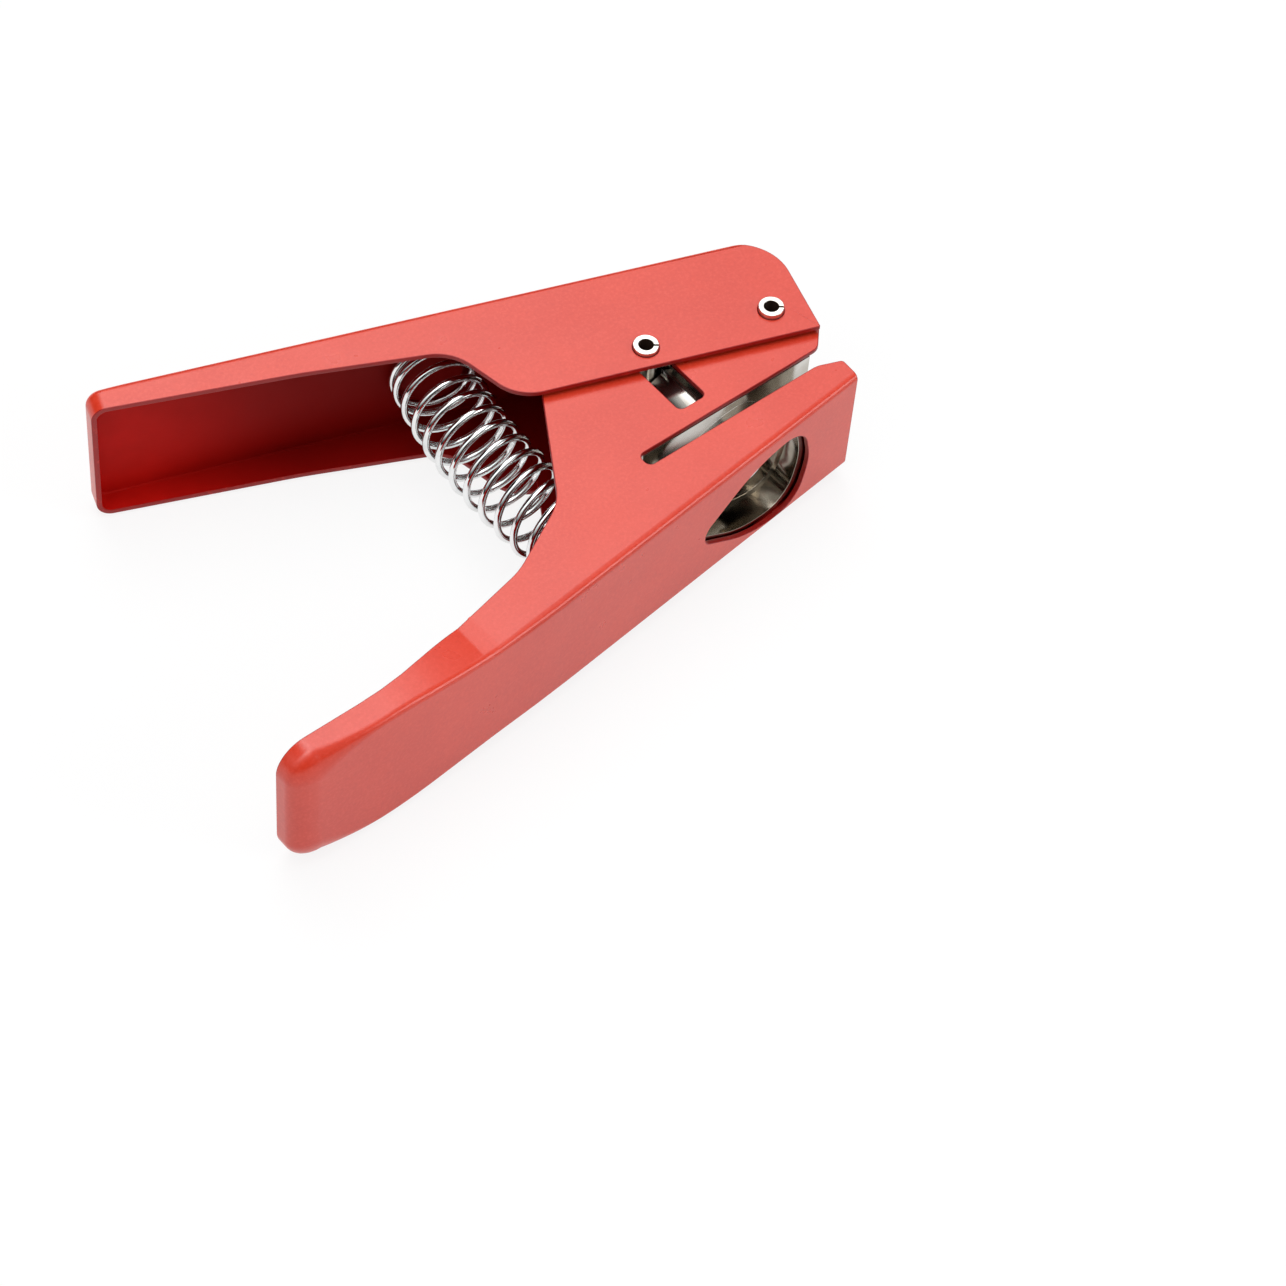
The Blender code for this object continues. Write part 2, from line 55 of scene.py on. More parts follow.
# ---------------------------------------------------------------- sizes
# Metres from the pivot axis, as the solids have them. Five differ from the solids: the
# frame's throat radius, the bend round its grip end, and the pins' wall, split and fit.
sheet = 0.0012
bend_radius = 0.0015
rest_gap = 0.0003
slide_gap = 0.0003
overrun = 0.0040

head_room = 0.0054
lever_reach = 0.1463
lever_nose = 0.0086
lever_nose_lean = 0.0013
lever_nose_radius = 0.0116
lever_tip_radius = 0.0004
lever_drop = 0.0075
lever_heel_reach = 0.0599
lever_heel_radius = 0.0100
lever_notch_run = 0.0094
lever_notch_height = 0.0087
lever_notch_radius = 0.0100
lever_grip_reach = 0.1017
lever_grip_height = 0.0120
lever_grip_radius = 0.1500
lever_end_height = 0.0148
lever_corner_radius = 0.0036
lever_end_radius = 0.0018
lever_end_blend = 0.0060
lever_flare = 0.0004
lever_open_angle = math.radians(19.7)
lever_travel = math.radians(22.0)

jaw_depth = 0.00804
frame_web_angle = math.radians(6.45)
jaw_reach = 0.0045
jaw_front_angle = math.radians(2.5)
jaw_nose_step = 0.0022
jaw_nose_radius = 0.0010
jaw_chin_reach = 0.0011
jaw_chin_radius = 0.0060
slot_top_drop = 0.0129
slot_height = 0.0036
slot_end_gap = 0.0015
slot_radius = 0.0015
ear_nose = 0.0069
ear_nose_radius = 0.0030
ear_chin_reach = 0.0025
ear_chin_radius = 0.0030
ear_cheek_drop = 0.0083
ear_brow_radius = 0.0085
ear_top_height = 0.0140
ear_heel_reach = 0.0520
ear_heel_radius = 0.0040
ear_throat_reach = 0.0689
ear_throat_drop = 0.0126
ear_throat_radius = 0.0140
ear_shoulder_reach = 0.0865
ear_shoulder_drop = 0.02175
ear_shoulder_radius = 0.0200
grip_start_reach = 0.1255
grip_wall_height = 0.0067
grip_edge_radius = 0.0800
grip_kink_reach = 0.0790
grip_kink_run = 0.0589
grip_reach = 0.1545
grip_corner_radius = 0.0070
grip_end_roll = 0.0066
grip_end_rise = 0.0040
grip_end_blend = 0.0160
joggle_from_end = 0.0489
joggle_run = 0.0145
joggle_foot_lead = 0.0056
joggle_foot_run = 0.0310
joggle_step = 0.0022

pin_diameter = 0.0056
pin_wall = 0.0012
pin_split = 0.0004
pin_split_turn = math.radians(-40.0)
pin_fit = 0.00006
pin_stand_out = 0.0012
drive_stand_out = 0.0009
drive_radius = 0.0295
drive_angle = math.radians(15.5)
window_spare = 0.0022
window_radius = 0.0014
washer_diameter = 0.0110
washer_space = 0.0010

punch_tip_reach = 0.0382
punch_front_reach = 0.0122
punch_half_width = 0.0107
pick_radii = (0.0036, 0.0290, 0.0075, 0.0170)
pick_shares = ((-0.17, 0.0), (0.41, 0.95), (0.90, 1.06), (1.003, 0.0))
punch_cap = 0.0020
guide_rear_wall = 0.0078
guide_front_wall = 0.0127
guide_side_wall = 0.0026
guide_height = 0.0200
guide_step_height = 0.0058
guide_head_wall = 0.0062
die_land = 0.0025
die_land_gap = 0.0003
die_relief_gap = 0.0012
drop_tip_gap = 0.0010
drop_front_gap = 0.0031
drop_side_gap = 0.0012
drop_offset = 0.0015

spring_wire = 0.0016
spring_diameter = 0.0195
spring_curls = 15.7
spring_closed_curls = 0.75
spring_eased_curls = 1.0
spring_closed_gap = 0.0005
spring_clear = 0.00775
spring_lean = 0.0037
seat_play = 0.0007
seat_height = 0.0021
seat_chamfer = 0.0006

# Finer than the solids: steps in a quarter turn of an outline and of a bend, in a full turn
# and along an eased wall, points and sides of the wire, and the widths of the broken edges
arc_steps = 20
bend_steps = 10
turn_steps = 96
blend_steps = 20
wire_points = 760
wire_sides = 18
paint_edge = 0.00022
steel_edge = 0.00015
pin_edge = 0.00014
seat_edge = 0.00010
washer_edge = 0.00005

# How far past its trimmed edge a wall still leans, and how far behind the tool's middle the
# painted shade inside starts to deepen towards the jaws, and over what length
trim_spare = 0.0013
painted_shade_start = 0.0620
painted_shade_run = 0.0480

# Rounding an outline: the most of a side that an arc takes up, and the turn that needs no arc
corner_share = 0.49
straight_turn = 0.001

# Cleaning a mesh: how near points are joined, how flat a bend is taken out, and how sharp an
# edge is broken or shaded hard
weld_gap = 0.000002
flat_angle = math.radians(0.6)
broken_angle = math.radians(32.0)
hard_angle = math.radians(40.0)

block_half = punch_half_width + guide_side_wall
half_frame = block_half + rest_gap + sheet
half_lever = half_frame + washer_space + sheet
half_grip = half_frame + joggle_step
slot_floor_drop = slot_top_drop + slot_height
jaw_nose_drop = slot_floor_drop + jaw_nose_step
frame_web_drop = slot_floor_drop + jaw_depth
lever_web_height = ear_top_height + head_room + sheet
web_slope = math.tan(frame_web_angle)
kink_level = -frame_web_drop - web_slope * grip_kink_reach
grip_web_drop = web_slope * grip_kink_run / 2 - kink_level
grip_edge_drop = grip_web_drop - grip_wall_height
guide_rear_reach = punch_tip_reach + guide_rear_wall
guide_front = guide_front_wall - punch_front_reach
joggle_reach = grip_reach - joggle_from_end
joggle_foot_reach = joggle_reach - joggle_foot_lead
slot_depth = guide_rear_reach + slot_end_gap
spring_foot_reach = guide_rear_reach + spring_clear + spring_diameter / 2
spring_head_reach = spring_foot_reach - spring_lean
lever_notch_reach = lever_heel_reach + lever_notch_run
pin_radius = pin_diameter / 2
pin_hole = pin_radius + rest_gap
coil_radius = (spring_diameter - spring_wire) / 2
drive_rest = Vector((-drive_radius * math.cos(drive_angle), drive_radius * math.sin(drive_angle)))
drive_low = drive_radius * math.sin(drive_angle - lever_travel)

# Where the pivot axis crosses the middle of the tool
low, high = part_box("pivot_washer_near")
pins_low, pins_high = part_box("pivot_pin")
pivot = Vector(((low.x + high.x) / 2, (low.y + high.y) / 2, (pins_low.z + pins_high.z) / 2))
to_tool = Matrix.Translation(pivot)


# ---------------------------------------------------------------- nodes
class Nodes:
    """Adds nodes to a tree; an input takes a socket or a plain value."""

    def __init__(self, tree):
        self.tree = tree

    def add(self, kind, inputs=None, **settings):
        node = self.tree.nodes.new(kind)
        for name, value in settings.items():
            setattr(node, name, value)
        for name, value in (inputs or {}).items():
            self.feed(node.inputs[name], value)
        return node

    def feed(self, socket, value):
        if isinstance(value, bpy.types.NodeSocket):
            self.tree.links.new(value, socket)
        else:
            socket.default_value = value

    def sum(self, kind, *values):
        node = self.tree.nodes.new("ShaderNodeMath")
        node.operation = kind
        for socket, value in zip(node.inputs, values):
            self.feed(socket, value)
        return node.outputs[0]

    def vector(self, kind, *values, scale=None):
        node = self.tree.nodes.new("ShaderNodeVectorMath")
        node.operation = kind
        for socket, value in zip(node.inputs, values):
            self.feed(socket, value)
        if scale is not None:
            self.feed(node.inputs["Scale"], scale)
        return node.outputs["Value"] if kind in ("DOT_PRODUCT", "DISTANCE") else node.outputs["Vector"]

    def steps(self, value, stops):
        node = self.tree.nodes.new("ShaderNodeValToRGB")
        ramp = node.color_ramp
        ramp.interpolation = "EASE"
        while len(ramp.elements) < len(stops):
            ramp.elements.new(1.0)
        for element, (place, colour) in zip(ramp.elements, stops):
            element.position = place
            element.color = (colour,) * 3 + (1.0,) if isinstance(colour, (int, float)) else (*colour, 1.0)
        self.feed(node.inputs[0], value)
        return node.outputs[0]

    def between(self, share, one, two):
        node = self.tree.nodes.new("ShaderNodeMix")
        node.data_type = "RGBA"
        self.feed(node.inputs[0], share)
        for socket, value in ((node.inputs[6], one), (node.inputs[7], two)):
            if isinstance(value, tuple) and len(value) == 3:
                value = (*value, 1.0)
            self.feed(socket, value)
        return node.outputs[2]

    def grain(self, place, scale, detail=3.0, roughness=0.55):
        node = self.add("ShaderNodeTexNoise", {"Scale": scale, "Detail": detail, "Roughness": roughness})
        self.feed(node.inputs["Vector"], place)
        return node.outputs[0]

    def rays(self):
        """The rays that the camera sends, and those that come off a mirroring surface."""
        kinds = self.add("ShaderNodeLightPath").outputs
        return kinds["Is Camera Ray"], self.sum("MAXIMUM", kinds["Is Glossy Ray"], kinds["Is Transmission Ray"])


def mottled(scale, detail, roughness, start, end, one, two):
    """Colour that passes from one to two where a grain rises from start to end."""
    return lambda n, place: n.between(n.steps(n.grain(place, scale, detail, roughness), ((start, 0.0), (end, 1.0))),
                                      one, two)


def uneven(scale, detail, roughness, spread, least):
    """Roughness that a grain lifts by up to spread above least."""
    return lambda n, place: n.sum("MULTIPLY_ADD", n.grain(place, scale, detail, roughness), spread, least)


def finish(name, colour, metallic, roughness, **fixed):
    """Material with its shader; fixed values sit on the shader's own sockets."""
    mat = bpy.data.materials.new(name)
    mat.use_nodes = True
    tree = mat.node_tree
    tree.nodes.clear()
    n = Nodes(tree)
    shader = n.add("ShaderNodeBsdfPrincipled")
    out = n.add("ShaderNodeOutputMaterial")
    tree.links.new(shader.outputs[0], out.inputs[0])
    shader.inputs["Metallic"].default_value = metallic
    for socket, value in fixed.items():
        shader.inputs[socket.replace("_", " ")].default_value = value
    place = n.add("ShaderNodeTexCoord").outputs["Object"]
    n.feed(shader.inputs["Base Color"], colour(n, place) if callable(colour) else (*colour, 1.0))
    n.feed(shader.inputs["Roughness"], roughness(n, place) if callable(roughness) else roughness)
    mat.diffuse_color = (0.6, 0.6, 0.6, 1.0)
    return mat, n, shader, place


def bumped(n, shader, height, strength, distance):
    bump = n.add("ShaderNodeBump", {"Strength": strength, "Distance": distance, "Height": height})
    n.feed(shader.inputs["Normal"], bump.outputs[0])


# ---------------------------------------------------------------- finishes
paint_red = (0.705, 0.045, 0.017)
paint_deep = (0.645, 0.036, 0.013)


def paint_colour(n, place):
    base = mottled(38.0, 4.0, 0.6, 0.30, 0.72, paint_deep, paint_red)(n, place)
    speck = n.grain(place, 1300.0, 2.0, 0.7)
    lit = n.between(n.steps(speck, ((0.46, 0.0), (0.72, 0.16))), base, (0.90, 0.13, 0.09))
    return n.between(n.steps(speck, ((0.28, 0.20), (0.46, 0.0))), lit, (0.50, 0.018, 0.010))


red_paint, n, shader, place = finish("satin_red_paint", paint_colour, 0.0, uneven(90.0, 4.0, 0.6, 0.10, 0.24),
                                     Specular_IOR_Level=0.60, IOR=1.5)
fine = n.grain(place, 1600.0, 2.0, 0.6)
broad = n.grain(place, 420.0, 2.0, 0.5)
bumped(n, shader, n.sum("MULTIPLY_ADD", broad, 0.3, fine), 0.30, 0.00003)


# The inside paint is a darker red than the outside: painted shade in the channels, deepened further towards the jaws
def painted_shade_inside_colour(n, place):
    paint = mottled(60.0, 4.0, 0.6, 0.3, 0.7, (0.500, 0.006, 0.003), (0.600, 0.008, 0.005))(n, place)
    from_end = n.sum("MULTIPLY_ADD", n.add("ShaderNodeSeparateXYZ", {0: place}).outputs["X"], 1 / painted_shade_run,
                     painted_shade_start / painted_shade_run)
    return n.between(n.steps(from_end, ((0.0, 0.0), (1.0, 1.0))), paint, (0.240, 0.0020, 0.0010))


red_inside_painted_shade, n, shader, place = finish("matt_red_paint_with_painted_shade_inside", painted_shade_inside_colour, 0.0,
                                      uneven(90.0, 4.0, 0.55, 0.12, 0.46), Specular_IOR_Level=0.08)
bumped(n, shader, n.grain(place, 2000.0, 3.0, 0.65), 0.4, 0.00005)

# The cut edges are a darker red: painted shade along the sheet edges
red_edge_painted_shade, n, shader, place = finish(
    "red_paint_with_painted_shade_on_edges", mottled(520.0, 4.0, 0.7, 0.55, 0.72, (0.360, 0.009, 0.007), (0.520, 0.022, 0.016)),
    0.0, 0.34, Specular_IOR_Level=0.35)
bumped(n, shader, n.grain(place, 1900.0, 3.0, 0.6), 0.3, 0.00003)

spring_chrome, n, shader, place = finish(
    "bright_plated_wire", mottled(160.0, 5.0, 0.65, 0.45, 0.8, (0.86, 0.87, 0.87), (0.70, 0.71, 0.71)),
    1.0, uneven(300.0, 4.0, 0.6, 0.10, 0.035))
drawn = n.add("ShaderNodeTexNoise", {"Vector": place, "Scale": 900.0, "Detail": 3.0}, noise_dimensions="2D")
bumped(n, shader, drawn.outputs[0], 0.10, 0.00001)

# Grinding marks run across the punch and the guide, and up and down the die
ground_roughness = uneven(240.0, 3.0, 0.5, 0.08, 0.09)
tool_steel, n, shader, place = finish(
    "ground_tool_steel", mottled(150.0, 3.0, 0.5, 0.3, 0.8, (0.62, 0.61, 0.57), (0.46, 0.43, 0.38)),
    1.0, ground_roughness)
bumped(n, shader, n.grain(n.vector("MULTIPLY", place, (300.0, 5000.0, 300.0)), 1.0, 2.0, 0.5), 0.05, 0.00001)

# The die is a darker, browner steel than the punch and guide: painted shade inside the frame
die_steel_painted_shade, n, shader, place = finish(
    "die_steel_with_painted_shade", mottled(120.0, 3.0, 0.5, 0.3, 0.75, (0.46, 0.42, 0.35), (0.27, 0.23, 0.18)),
    1.0, ground_roughness)
bumped(n, shader, n.grain(n.vector("MULTIPLY", place, (4000.0, 260.0, 4000.0)), 1.0, 2.0, 0.5), 0.06, 0.00001)

pin_steel, n, shader, place = finish(
    "plated_pin_steel", mottled(500.0, 3.0, 0.55, 0.4, 0.85, (0.80, 0.78, 0.73), (0.56, 0.51, 0.43)),
    1.0, uneven(700.0, 3.0, 0.55, 0.14, 0.22))
bumped(n, shader, n.grain(place, 2200.0, 3.0), 0.10, 0.00002)

# The bores are a dark brown: painted shade inside the pins
pin_bore_painted_shade, n, shader, place = finish("pin_bore_with_painted_shade", (0.090, 0.050, 0.034), 0.5,
                                    uneven(900.0, 3.0, 0.55, 0.3, 0.25))
bumped(n, shader, n.grain(place, 1800.0, 3.0), 0.3, 0.00003)

washer_steel, n, shader, place = finish("plain_washer_steel", (0.50, 0.50, 0.49), 1.0,
                                        uneven(700.0, 3.0, 0.55, 0.2, 0.25))
bumped(n, shader, n.grain(place, 3000.0, 3.0), 0.15, 0.00002)


# ---------------------------------------------------------------- shapes
def mesh_object(name, bm):
    mesh = bpy.data.meshes.new(name)
    bm.to_mesh(mesh)
    bm.free()
    obj = bpy.data.objects.new(name, mesh)
    scene.collection.objects.link(obj)
    return obj


def rounded(corners):
    """Closed outline through corners (x, y, radius), each rounded by an arc."""
    points = []
    count = len(corners)
    for i, (x, y, radius) in enumerate(corners):
        here = Vector((x, y))
        back = Vector(corners[i - 1][:2]) - here
        ahead = Vector(corners[(i + 1) % count][:2]) - here
        turn = math.pi - back.angle(ahead)
        if radius == 0.0 or turn < straight_turn:
            points.append(here)
            continue
        reach = min(radius * math.tan(turn / 2), corner_share * back.length, corner_share * ahead.length)
        radius = reach / math.tan(turn / 2)
        start = here + back.normalized() * reach
        middle = here + (back.normalized() + ahead.normalized()).normalized() * (radius / math.cos(turn / 2))
        side = 1.0 if back.x * ahead.y - back.y * ahead.x < 0 else -1.0
        steps = max(2, math.ceil(arc_steps * turn / (math.pi / 2)))
        for k in range(steps + 1):
            swing = Matrix.Rotation(side * turn * k / steps, 2)
            points.append(middle + swing @ (start - middle))
    return points


def side_view(a, b, level):
    """Lay an outline in the plane of the side plates."""
    return (a, b, level)


def plan_view(a, b, level):
    """Lay an outline in the plane of the jaw slot."""
    return (a, level, b)


def prism(name, points, low, high, lay):
    bm = bmesh.new()
    face = bm.faces.new([bm.verts.new(lay(p[0], p[1], low)) for p in points])
    made = bmesh.ops.extrude_face_region(bm, geom=[face])
    lift = Vector(lay(0, 0, high)) - Vector(lay(0, 0, low))
    bmesh.ops.translate(bm, vec=lift, verts=[v for v in made["geom"] if isinstance(v, bmesh.types.BMVert)])
    bmesh.ops.recalc_face_normals(bm, faces=bm.faces)
    return mesh_object(name, bm)


def block(name, low, high):
    bm = bmesh.new()
    bmesh.ops.create_cube(bm, size=1.0)
    low, high = Vector(low), Vector(high)
    for v in bm.verts:
        v.co = Vector((v.co[k] * (high[k] - low[k]) + (low[k] + high[k]) / 2 for k in range(3)))
    return mesh_object(name, bm)


def round_tool(name, radius, depth, place=(0.0, 0.0)):
    bm = bmesh.new()
    bmesh.ops.create_cone(bm, cap_ends=True, segments=turn_steps, radius1=radius, radius2=radius, depth=depth)
    bmesh.ops.translate(bm, vec=(place[0], place[1], 0.0), verts=bm.verts)
    return mesh_object(name, bm)


def turned(name, profile):
    """Turned solid about its own Z from a closed profile of (radius, height)."""
    bm = bmesh.new()
    verts = [bm.verts.new((r, 0.0, h)) for r, h in profile]
    edges = [bm.edges.new((a, b)) for a, b in zip(verts, verts[1:])]
    if profile[0][0] > 0.0:
        edges.append(bm.edges.new((verts[-1], verts[0])))
    bmesh.ops.spin(bm, geom=verts + edges, cent=(0, 0, 0), axis=(0, 0, 1), angle=2 * math.pi,
                   steps=turn_steps, use_merge=True)
    bmesh.ops.remove_doubles(bm, verts=bm.verts, dist=weld_gap / 2)
    bmesh.ops.recalc_face_normals(bm, faces=bm.faces)
    return mesh_object(name, bm)


def baked(obj):
    """The object's mesh with its modifiers in it."""
    bpy.context.view_layer.update()
    graph = bpy.context.evaluated_depsgraph_get()
    mesh = bpy.data.meshes.new_from_object(obj.evaluated_get(graph), preserve_all_data_layers=True, depsgraph=graph)
    obj.modifiers.clear()
    obj.data = mesh
    return obj


def cut(obj, *tools, keep=False):
    """Cut the tools out of obj, or keep only what lies inside them.

    The tools' faces have the second slot, so that cut faces take obj's second finish.
    """
    for tool in tools:
        for _ in range(2):
            tool.data.materials.append(None)
        for face in tool.data.polygons:
            face.material_index = 1
        step = obj.modifiers.new("Cut", "BOOLEAN")
        step.operation = "INTERSECT" if keep else "DIFFERENCE"
        step.solver = "EXACT"
        step.object = tool
    baked(obj)
    for tool in tools:
        bpy.data.objects.remove(tool, do_unlink=True)
    return obj


def break_edges(obj, width, segments=2, edge_slot=-1):
    """Clean a cut mesh, round its sharp outer edges a little and shade the rest smooth."""
    bm = bmesh.new()
    bm.from_mesh(obj.data)
    bmesh.ops.remove_doubles(bm, verts=bm.verts, dist=weld_gap)
    bmesh.ops.dissolve_degenerate(bm, edges=bm.edges, dist=weld_gap)
    bmesh.ops.dissolve_limit(bm, angle_limit=flat_angle, verts=bm.verts, edges=bm.edges)
    share = bm.edges.layers.float.new("bevel_weight_edge")
    for edge in bm.edges:
        sharp = edge.is_manifold and edge.is_convex and edge.calc_face_angle() > broken_angle
        edge[share] = float(sharp)
    bm.to_mesh(obj.data)
    bm.free()
    obj.data.shade_smooth()
    bevel = obj.modifiers.new("Edges", "BEVEL")
    bevel.width = width
    bevel.segments = segments
    bevel.limit_method = "WEIGHT"
    bevel.use_clamp_overlap = False
    bevel.harden_normals = False
    bevel.material = edge_slot
    bevel.miter_outer = "MITER_SHARP"
    baked(obj)
    obj.data.shade_smooth()
    obj.data.set_sharp_from_angle(angle=hard_angle)
    weighted = obj.modifiers.new("Normals", "WEIGHTED_NORMAL")
    weighted.keep_sharp = True
    weighted.weight = 90
    return baked(obj)


def settle(obj, body, node, slot, *materials):
    """Stand a finished piece in the tool's place, on its body, instead of its plain solid."""
    obj.data.transform(to_tool @ obj.matrix_world)
    obj.matrix_world = Matrix.Identity(4)
    obj.data.name = obj.name
    if materials:
        for face in obj.data.polygons:
            face.material_index = 0
        obj.data.materials.clear()
        for mat in materials:
            obj.data.materials.append(mat)
    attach(obj, body)
    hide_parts(node)
    return obj


def channel(name, run, end_reach, corner, end_roll, end_rise, level, row, top, sign):
    """Pressed channel with a closed rounded end.

    The run lists (x, half width at the bend, half width at the edge) from the open nose.
    At the end the bend is end_roll wide along the web and end_rise high along the walls.
    The walls lean from the bend to row(x), just past where they are trimmed, and stand straight beyond.
    """
    stations = [(x, w, e, 0.0, -1.0, bend_radius, bend_radius) for x, w, e in run]
    last_x, last_w, last_e = run[-1]
    stations[-1] = (last_x, last_w, last_e, 0.0, -1.0, end_roll, end_rise)
    first_blend, first_w, first_e = run[-2]
    eased = []
    for k in range(1, blend_steps):
        s = k / blend_steps
        eased.append((first_blend + (last_x - first_blend) * s, first_w + (last_w - first_w) * s,
                      first_e + (last_e - first_e) * s, 0.0, -1.0,
                      bend_radius + (end_roll - bend_radius) * s ** 2, bend_radius + (end_rise - bend_radius) * s ** 2))
    stations[-1:-1] = eased
    for k in range(1, arc_steps + 1):
        a = math.pi / 2 * k / arc_steps
        x = -end_reach + corner - corner * math.sin(a)
        w = last_w - corner + corner * math.cos(a)
        stations.append((x, w, w, math.sin(a), -math.cos(a), end_roll, end_rise))
    bm = bmesh.new()
    sides = []
    for side in (1.0, -1.0):
        columns = []
        for x, w, e, nx, nz, roll, rise in stations:
            column = [bm.verts.new((x, top, side * e)),
                      bm.verts.new((x, row(x), side * e))]
            for k in range(bend_steps + 1):
                a = math.pi / 2 * k / bend_steps
                inset = roll * (1 - math.cos(a))
                px = x + nx * inset
                py = level(px) - sign * rise * (1 - math.sin(a))
                column.append(bm.verts.new((px, py, side * (w + nz * inset))))
            columns.append(column)
        sides.append(columns)
    near, far = sides
    loop = near + far[::-1]
    for one, two in zip(loop[:-1], loop[1:]):
        for k in range(bend_steps + 2):
            bm.faces.new((one[k], two[k], two[k + 1], one[k + 1]))
    for i in range(len(near) - 1):
        bm.faces.new((near[i][-1], near[i + 1][-1], far[i + 1][-1], far[i][-1]))
    bmesh.ops.recalc_face_normals(bm, faces=bm.faces)
    web = max(bm.faces, key=lambda f: f.calc_area() * abs(f.normal.y))
    if web.normal.y * sign < 0:
        bmesh.ops.reverse_faces(bm, faces=bm.faces)
    obj = mesh_object(name, bm)
    wall = obj.modifiers.new("Sheet", "SOLIDIFY")
    wall.thickness = sheet
    wall.offset = -1.0
    wall.use_even_offset = True
    wall.material_offset = 2
    wall.material_offset_rim = 1
    # Outer faces take the paint, rims the darker edge red and inner faces the darker inside red; both darker reds are
    # painted shade
    for mat in (red_paint, red_edge_painted_shade, red_inside_painted_shade):
        obj.data.materials.append(mat)
    return baked(obj)


def pick_outline(grow=0.0, tip_gap=0.0, front_gap=0.0, side_gap=0.0):
    """Pick outline in plan, tip towards -X, grown outwards by grow."""
    tip, front, half = punch_tip_reach + tip_gap, punch_front_reach - front_gap, punch_half_width + side_gap
    length = tip - front
    places = [(-tip + length * a, half * b, r) for (a, b), r in zip(pick_shares, pick_radii)]
    points = rounded(places + [(x, -z, r) for x, z, r in places[2:0:-1]])
    grown = []
    for i, p in enumerate(points):
        along = (points[(i + 1) % len(points)] - points[i - 1]).normalized()
        grown.append(p + Vector((-along.y, along.x)) * grow)
    return grown


# ---------------------------------------------------------------- lower frame
def web_level(x):
    """Outer face of the frame's web at x: sloped under the jaws, eased level under the grip."""
    past = -x - grip_kink_reach
    if past <= 0.0:
        return -frame_web_drop + web_slope * x
    past = min(past, grip_kink_run)
    return kink_level - web_slope * (past - past ** 2 / (2 * grip_kink_run))


def grip_half_widths(x):
    """Half widths of the frame at x: eased in and out at the bend, creased at the edge."""
    foot = min(max((-x - joggle_foot_reach) / joggle_foot_run, 0.0), 1.0)
    edge = min(max((-x - joggle_reach) / joggle_run, 0.0), 1.0)
    return (half_frame + joggle_step * foot ** 2 * (3 - 2 * foot),
            half_frame + joggle_step * (1 - (1 - edge) ** 2))


def wall_row(x):
    """Just past the trimmed edge of the frame's walls at x."""
    if -x < ear_shoulder_reach:
        return ear_top_height + overrun / 2
    share = min((-x - ear_shoulder_reach) / (grip_start_reach - ear_shoulder_reach), 1.0)
    return -ear_shoulder_drop + (ear_shoulder_drop - grip_edge_drop) * share + trim_spare


web_steps = 4 * arc_steps
step_run = grip_kink_run / web_steps
fixed_places = [jaw_reach + overrun, -joggle_reach, -grip_reach + grip_corner_radius + grip_end_blend,
                -grip_reach + grip_corner_radius]
run_places = [-grip_kink_reach - step_run * k for k in range(web_steps + 1)]
run_places = [x for x in run_places if x > fixed_places[2]
              and min(abs(x - place) for place in fixed_places) > step_run / 2] + fixed_places
frame_run = [(x, *grip_half_widths(x)) for x in sorted(run_places, reverse=True)]
frame_pressing = channel("frame_pressing", frame_run, grip_reach, grip_corner_radius, grip_end_roll,
                         grip_end_rise, web_level, wall_row, ear_top_height + overrun, -1)
frame_floor = -grip_web_drop - overrun
jaw_foot_reach = jaw_reach + math.tan(jaw_front_angle) * (frame_floor + jaw_nose_drop)
frame_outline = rounded([
    (jaw_foot_reach, frame_floor, 0.0),
    (jaw_reach, -jaw_nose_drop, jaw_nose_radius),
    (-jaw_chin_reach, -slot_floor_drop, jaw_chin_radius),
    (-slot_depth, -slot_floor_drop, slot_radius),
    (-slot_depth, -slot_top_drop, slot_radius),
    (ear_chin_reach, -slot_top_drop, ear_chin_radius),
    (ear_nose, -ear_cheek_drop, ear_nose_radius),
    (ear_nose, ear_top_height, ear_brow_radius),
    (-ear_heel_reach, ear_top_height, ear_heel_radius),
    (-ear_throat_reach, -ear_throat_drop, ear_throat_radius),
    (-ear_shoulder_reach, -ear_shoulder_drop, ear_shoulder_radius),
    (-grip_start_reach, -grip_edge_drop, grip_edge_radius),
    (-grip_reach - overrun, -grip_edge_drop, 0.0),
    (-grip_reach - overrun, frame_floor, 0.0),
])
cut(frame_pressing, prism("trim", frame_outline, -half_grip - overrun, half_grip + overrun, side_view), keep=True)
window_rear = -(drive_radius + pin_radius + slide_gap)
window_front = drive_rest.x + pin_radius + slide_gap
window_top = drive_rest.y + pin_radius + slide_gap
window_floor = drive_low - pin_radius - slide_gap - window_spare
window_outline = rounded([(window_rear, window_floor, window_radius), (window_front, window_floor, window_radius),
                          (window_front, window_top, window_radius), (window_rear, window_top, window_radius)])
drop_outline = [p - Vector((0.0, drop_offset))
                for p in pick_outline(0.0, drop_tip_gap, drop_front_gap, drop_side_gap)]
cut(frame_pressing,
    round_tool("hole", pin_hole, 2 * (half_lever + overrun)),
    prism("window", window_outline, -half_frame - overrun, half_frame + overrun, side_view),
    prism("drop", drop_outline, frame_floor, -frame_web_drop + overrun, plan_view))
break_edges(frame_pressing, paint_edge, edge_slot=1)
settle(frame_pressing, "frame", "lower_frame", "red_paint")

